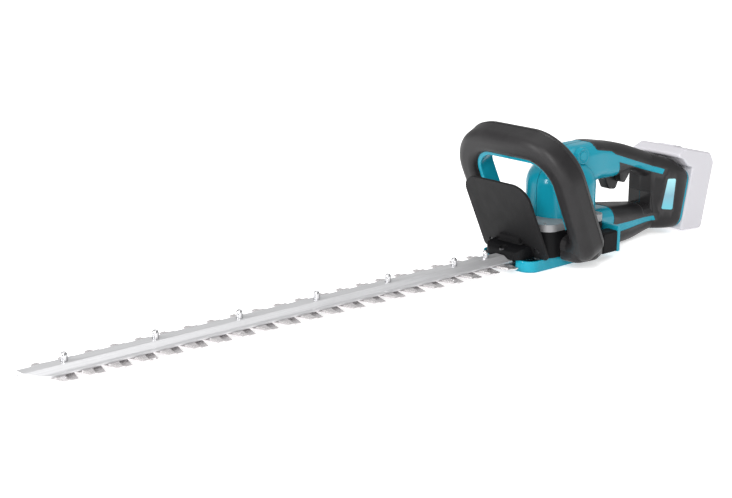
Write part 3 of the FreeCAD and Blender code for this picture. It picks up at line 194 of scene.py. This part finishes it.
def bright_blade():
    """Ground and plated steel: fine lines along the blade, small scratches across it."""
    tree = Tree("blade_steel")
    lines = tree.noise(260, 6, (0.15, 6, 6))
    scratch = tree.noise(500, 4, (3, 0.4, 1), 0.7)
    tone = tree.mix(tree.ranged(lines, 0, 1), (0.52, 0.50, 0.505), (0.70, 0.675, 0.68))
    tree.link(tone, tree.shader.inputs["Base Color"])
    both = tree.math("ADD", tree.ranged(lines, 0.20, 0.32), tree.ranged(scratch, 0.0, 0.12, 0.55, 0.75))
    tree.link(both, tree.shader.inputs["Roughness"])
    tree.link(tree.bump(lines, 0.00003, 0.6), tree.shader.inputs["Normal"])
    tree.set("Metallic", 0.75)
    return tree.material


def drawn_bar():
    """Anodised extrusion: long faint die lines."""
    tree = Tree("bar_aluminium")
    lines = tree.noise(420, 5, (0.04, 3, 3))
    tone = tree.mix(tree.ranged(lines, 0, 1), (0.44, 0.44, 0.45), (0.56, 0.56, 0.57))
    tree.link(tone, tree.shader.inputs["Base Color"])
    tree.link(tree.ranged(lines, 0.36, 0.50), tree.shader.inputs["Roughness"])
    tree.link(tree.bump(lines, 0.00004, 0.7), tree.shader.inputs["Normal"])
    tree.set("Metallic", 0.55)
    return tree.material


def soft_grip(name, seam=None):
    """Moulded rubber: a leathery grain, dull, paler where it is handled. seam gives its parting plane."""
    tree = Tree(name)
    voronoi = tree.add("ShaderNodeTexVoronoi", feature="DISTANCE_TO_EDGE")
    voronoi.inputs["Scale"].default_value = 1100
    tree.link(tree.place, voronoi.inputs["Vector"])
    dirt = tree.noise(35, 5)
    tone = tree.mix(tree.ranged(dirt, 0, 1), (0.012, 0.0113, 0.012), (0.018, 0.0172, 0.018))
    rubbed = tree.math("MULTIPLY", tree.edges(0.51, 0.56), 0.35)
    tone = tree.mix(rubbed, tone, (0.07, 0.067, 0.068))
    relief = tree.bump(voronoi.outputs["Distance"], 0.00006, 0.5)
    if seam:
        line = tree.band(tree.along(*seam), HANDLE_GROOVE)
        tone = tree.mix(line, tone, (0.004, 0.004, 0.004))
        relief = tree.bump(tree.math("SUBTRACT", 1.0, line), 0.0006, 1.0, relief)
    tree.link(tone, tree.shader.inputs["Base Color"])
    tree.link(tree.ranged(dirt, 0.36, 0.46), tree.shader.inputs["Roughness"])
    tree.link(relief, tree.shader.inputs["Normal"])
    tree.set("Specular IOR Level", 0.2)
    return tree.material


def panel_print():
    """A glossy panel that runs from green blue through a greyer blue to a pale blue at the top."""
    tree = Tree("panel_print")
    split = tree.add("ShaderNodeSeparateXYZ")
    tree.link(tree.place, split.inputs["Vector"])
    low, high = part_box("side_labels")
    along = tree.ranged(split.outputs["Z"], 0, 1, low.z, high.z)
    ramp = tree.add("ShaderNodeValToRGB")
    stops = ramp.color_ramp.elements
    stops[0].color = (0.10, 0.42, 0.50, 1)
    stops[1].position = 0.45
    stops[1].color = (0.16, 0.34, 0.42, 1)
    last = stops.new(1.0)
    last.color = (0.30, 0.62, 0.66, 1)
    wobble = tree.math("ADD", along, tree.ranged(tree.noise(40, 3), -0.08, 0.08))
    tree.link(wobble, ramp.inputs["Fac"])
    tree.link(ramp.outputs["Color"], tree.shader.inputs["Base Color"])
    tree.link(tree.ranged(tree.noise(120, 4), 0.14, 0.24), tree.shader.inputs["Roughness"])
    tree.link(tree.bump(tree.noise(900), 0.00001), tree.shader.inputs["Normal"])
    return tree.material


GRIP_COLOUR = (0.017, 0.0163, 0.017)
TEAL = (0.006, 0.235, 0.320)

# The loop handle leans forwards. Its parting plane lies HANDLE_SEAM along its normal, and the handle is
# measured up its own lean from the floor.
HANDLE_LEAN = math.radians(24.7)
HANDLE_NORMAL = (math.cos(HANDLE_LEAN), 0.0, math.sin(HANDLE_LEAN))
HANDLE_UP = Vector((-math.sin(HANDLE_LEAN), 0.0, math.cos(HANDLE_LEAN)))
HANDLE_FOOT_X = 0.0178
HANDLE_SEAM_BEHIND = 0.008
HANDLE_SEAM = HANDLE_FOOT_X * math.cos(HANDLE_LEAN) + HANDLE_SEAM_BEHIND
HANDLE_HALF_WIDTH = 0.089
HANDLE_MIDDLE = 0.090
HANDLE_HALF_HEIGHT = 0.0825
HANDLE_FEET_TOP = 0.020

# The front of the battery block inside the rear grip's opening, which has the grip's colour.
BLOCK_FACE = ((0.166, -0.06, 0.0285), (0.192, 0.06, 0.078))

FINISHES = {
    "bar": drawn_bar(),
    "blade": bright_blade(),
    "nut": surface("nut_chrome", (0.50, 0.50, 0.51), (0.16, 0.24), 1.0, (900, 0.000004), 0.03, 0.0),
    "steel": surface("plain_steel", (0.50, 0.50, 0.51), (0.28, 0.40), 1.0, (700, 0.00002), streak=(1, 1, 4)),
    "gear": surface("oiled_steel", (0.34, 0.34, 0.35), (0.22, 0.38), 1.0, (700, 0.00003)),
    "case": surface("cast_black", (0.004, 0.004, 0.0045), (0.42, 0.55), 0.0, (1300, 0.00010), 0.12, 0.25,
                    specular=0.1),
    "plate": surface("cast_grey", (0.22, 0.22, 0.225), (0.38, 0.50), 0.4, (1100, 0.00008), 0.08, 0.3),
    "teal": surface("teal_plastic", TEAL, (0.12, 0.20), 0.0, (1700, 0.00001), 0.04, 0.06, specular=0.22,
                    seam=((0, 1, 0), 0.0), patch=(GRIP_COLOUR, *BLOCK_FACE)),
    "grip": soft_grip("soft_grip"),
    "guard": surface("guard_plastic", (0.008, 0.0078, 0.0083), (0.50, 0.60), 0.0, (1500, 0.00007), 0.08, 0.2,
                     specular=0.14),
    "black": surface("black_plastic", (0.004, 0.004, 0.0045), (0.30, 0.40), 0.0, (1500, 0.00004), 0.1, 0.2,
                     specular=0.3),
    "screw": surface("dark_screw", (0.07, 0.07, 0.073), (0.26, 0.38), 1.0, (900, 0.00002), 0.1, 0.3),
    "copper": surface("winding_copper", (0.62, 0.26, 0.12), (0.25, 0.35), 1.0, (900, 0.00008),
                      streak=(1, 1, 8)),
    "panel": panel_print(),
    "pack": surface("pale_plastic", (0.48, 0.47, 0.50), (0.30, 0.36), 0.0, (1500, 0.00001), 0.008, 0.0),
    "cell": surface("cell_film", (0.05, 0.24, 0.12), (0.25, 0.35), 0.0, (900, 0.00002)),
    "board": surface("board_green", (0.02, 0.16, 0.07), (0.25, 0.40), 0.0, (800, 0.00006), 0.2),
    "contact": surface("contact_brass", (0.75, 0.58, 0.25), (0.2, 0.3), 1.0, (900, 0.00001)),
}


def dress_nodes():
    """Gives each CAD node its slot's finish. The loop handle's rubber also shows its parting line."""
    slots = {row["node"]: row["material_slot"] for row in frame["record"]["subparts"]}
    handle_rubber = soft_grip("handle_rubber", (HANDLE_NORMAL, HANDLE_SEAM))
    for name, node in NODES.items():
        node.data.materials.clear()
        handle = name.startswith("front_handle")
        node.data.materials.append(handle_rubber if handle else FINISHES[slots[name]])


dress_nodes()

# ---------------------------------------------------------------- added pieces

# Vertices closer than WELD are one. A cut is made INSET off a flat parting face, so that it crosses the
# solid. OUTER_SHARE tells the loop's outer side from its inner side, where 1 is an oval through the outside.
# An outline smaller than its LEAST is left without a bead.
WELD = 0.0002
INSET = 0.0001
OUTER_SHARE = 0.9
HANDLE_OUTLINE_LEAST = 0.235
HOUSING_OUTLINE_LEAST = 0.05


def small_outlines(mesh, least):
    """The vertices of the outlines less than `least` across in a cut, such as those of the screw posts."""
    left = set(mesh.verts)
    small = set()
    while left:
        front = [left.pop()]
        chain = set(front)
        while front:
            vert = front.pop()
            near = {edge.other_vert(vert) for edge in vert.link_edges} & left
            left -= near
            chain |= near
            front.extend(near)
        corners = [[pick(vert.co[axis] for vert in chain) for axis in range(3)] for pick in (min, max)]
        if math.dist(*corners) < least:
            small |= chain
    return small


def loop_outside(place):
    """True on the outer side of the loop handle, clear of the lever that moves inside it."""
    rise = place.dot(HANDLE_UP)
    across = place.y / HANDLE_HALF_WIDTH
    upward = (rise - HANDLE_MIDDLE) / HANDLE_HALF_HEIGHT
    return rise > HANDLE_FEET_TOP and across ** 2 + upward ** 2 > OUTER_SHARE


def seam_line(name, node, point, normal, radius, slot, body, least, keep=None):
    """A thin bead along the outlines, at least `least` across, where a plane cuts a node.

    keep tells which places of an outline get the bead."""
    cutter = bmesh.new()
    cutter.from_mesh(NODES[node].data)
    everything = cutter.verts[:] + cutter.edges[:] + cutter.faces[:]
    bmesh.ops.bisect_plane(cutter, geom=everything, plane_co=point, plane_no=normal,
                           clear_inner=True, clear_outer=True)
    bmesh.ops.remove_doubles(cutter, verts=cutter.verts[:], dist=WELD)
    small = small_outlines(cutter, least)
    dropped = [vert for vert in cutter.verts if vert in small or (keep and not keep(vert.co))]
    bmesh.ops.delete(cutter, geom=dropped, context="VERTS")
    data = bpy.data.meshes.new(name)
    cutter.to_mesh(data)
    cutter.free()
    bead = bpy.data.objects.new(name, data)
    scene.collection.objects.link(bead)
    bpy.ops.object.select_all(action="DESELECT")
    bead.select_set(True)
    bpy.context.view_layer.objects.active = bead
    bpy.ops.object.convert(target="CURVE")
    bead = bpy.context.object
    bead.data.bevel_depth = radius
    bead.data.bevel_resolution = 1
    bead.data.use_fill_caps = True
    bpy.ops.object.convert(target="MESH")
    bead = bpy.context.object
    bead.name = name
    bead.data.materials.clear()
    bead.data.materials.append(FINISHES[slot])
    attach(bead, body)


def seams():
    """The parting lines round the loop handle and along the middle of the housing."""
    handle_point = Vector(HANDLE_NORMAL) * (HANDLE_SEAM - INSET)
    seam_line("handle_seam", "front_handle", handle_point, HANDLE_NORMAL, HANDLE_BEAD, "black", "frame",
              HANDLE_OUTLINE_LEAST, loop_outside)
    seam_line("housing_seam", "housing_left", (0, -INSET, 0), (0, 1, 0), HOUSING_BEAD, "teal", "frame",
              HOUSING_OUTLINE_LEAST)


seams()

# ---------------------------------------------------------------- stage, light and camera

FLOOR_SIZE = 60
FLOOR_DROP = 0.0004
FLOOR_GLOW = 0.55
SKY_STRENGTH = 0.60
TOOL_MIDDLE = (-0.1, 0, 0.08)
MOTOR_FRONT = (0.02, 0, 0.09)
WINDOW_SIZE = (0.32, 1.40)
WINDOW_POWER = 36


def stage_floor():
    """A white floor that runs far out, a hair below the tool."""
    bpy.ops.mesh.primitive_plane_add(size=FLOOR_SIZE, location=(0, 0, -FLOOR_DROP))
    floor = bpy.context.object
    floor.name = "floor"
    tree = Tree("floor_white")
    tone = tree.mix(tree.ranged(tree.noise(3, 2), 0, 1), (0.93, 0.93, 0.93), (0.95, 0.95, 0.95))
    tree.link(tone, tree.shader.inputs["Base Color"])
    tree.link(tree.ranged(tree.noise(9, 3), 0.75, 0.85), tree.shader.inputs["Roughness"])
    tree.link(tone, tree.shader.inputs["Emission Color"])
    tree.set("Emission Strength", FLOOR_GLOW)
    floor.data.materials.append(tree.material)


def area_light(name, place, aim, size, power):
    data = bpy.data.lights.new(name, "AREA")
    data.shape = "RECTANGLE"
    data.size, data.size_y = size
    data.energy = power
    lamp = bpy.data.objects.new(name, data)
    scene.collection.objects.link(lamp)
    lamp.location = place
    lamp.rotation_euler = (Vector(aim) - Vector(place)).to_track_quat("-Z", "Y").to_euler()


def light_scene():
    """An even white sky, a key and a top light, and two upright strips in front of the motor housing."""
    world = bpy.data.worlds.new("studio")
    scene.world = world
    world.use_nodes = True
    background = world.node_tree.nodes["Background"]
    background.inputs["Color"].default_value = (1, 1, 1, 1)
    background.inputs["Strength"].default_value = SKY_STRENGTH
    area_light("key", (-1.7, -1.2, 2.0), TOOL_MIDDLE, (1.3, 1.3), 15)
    area_light("top", (0.15, 0.35, 2.4), TOOL_MIDDLE, (2.2, 1.2), 17)
    area_light("window_left", (-2.26, 0.40, 1.01), MOTOR_FRONT, WINDOW_SIZE, WINDOW_POWER)
    area_light("window_right", (-1.86, -1.24, 1.11), MOTOR_FRONT, WINDOW_SIZE, WINDOW_POWER)


CAMERA_TARGET = Vector((-0.2715, 0.0, 0.0595))
CAMERA_DISTANCE = 1.6224
CAMERA_TURN = math.radians(-40.7)
CAMERA_RISE = math.radians(15.1)


def add_camera():
    """The camera stands off to the blade's left, looking back along it and a little down."""
    data = bpy.data.cameras.new("camera")
    data.lens = 74.46
    data.sensor_width = 36.0
    camera = bpy.data.objects.new("camera", data)
    scene.collection.objects.link(camera)
    flat = math.cos(CAMERA_RISE)
    back = Vector((math.sin(CAMERA_TURN) * flat, -math.cos(CAMERA_TURN) * flat, math.sin(CAMERA_RISE)))
    camera.location = CAMERA_TARGET + back * CAMERA_DISTANCE
    camera.rotation_euler = (-back).to_track_quat("-Z", "Y").to_euler()
    scene.camera = camera


scene.view_settings.view_transform = "Standard"
stage_floor()
light_scene()
add_camera()
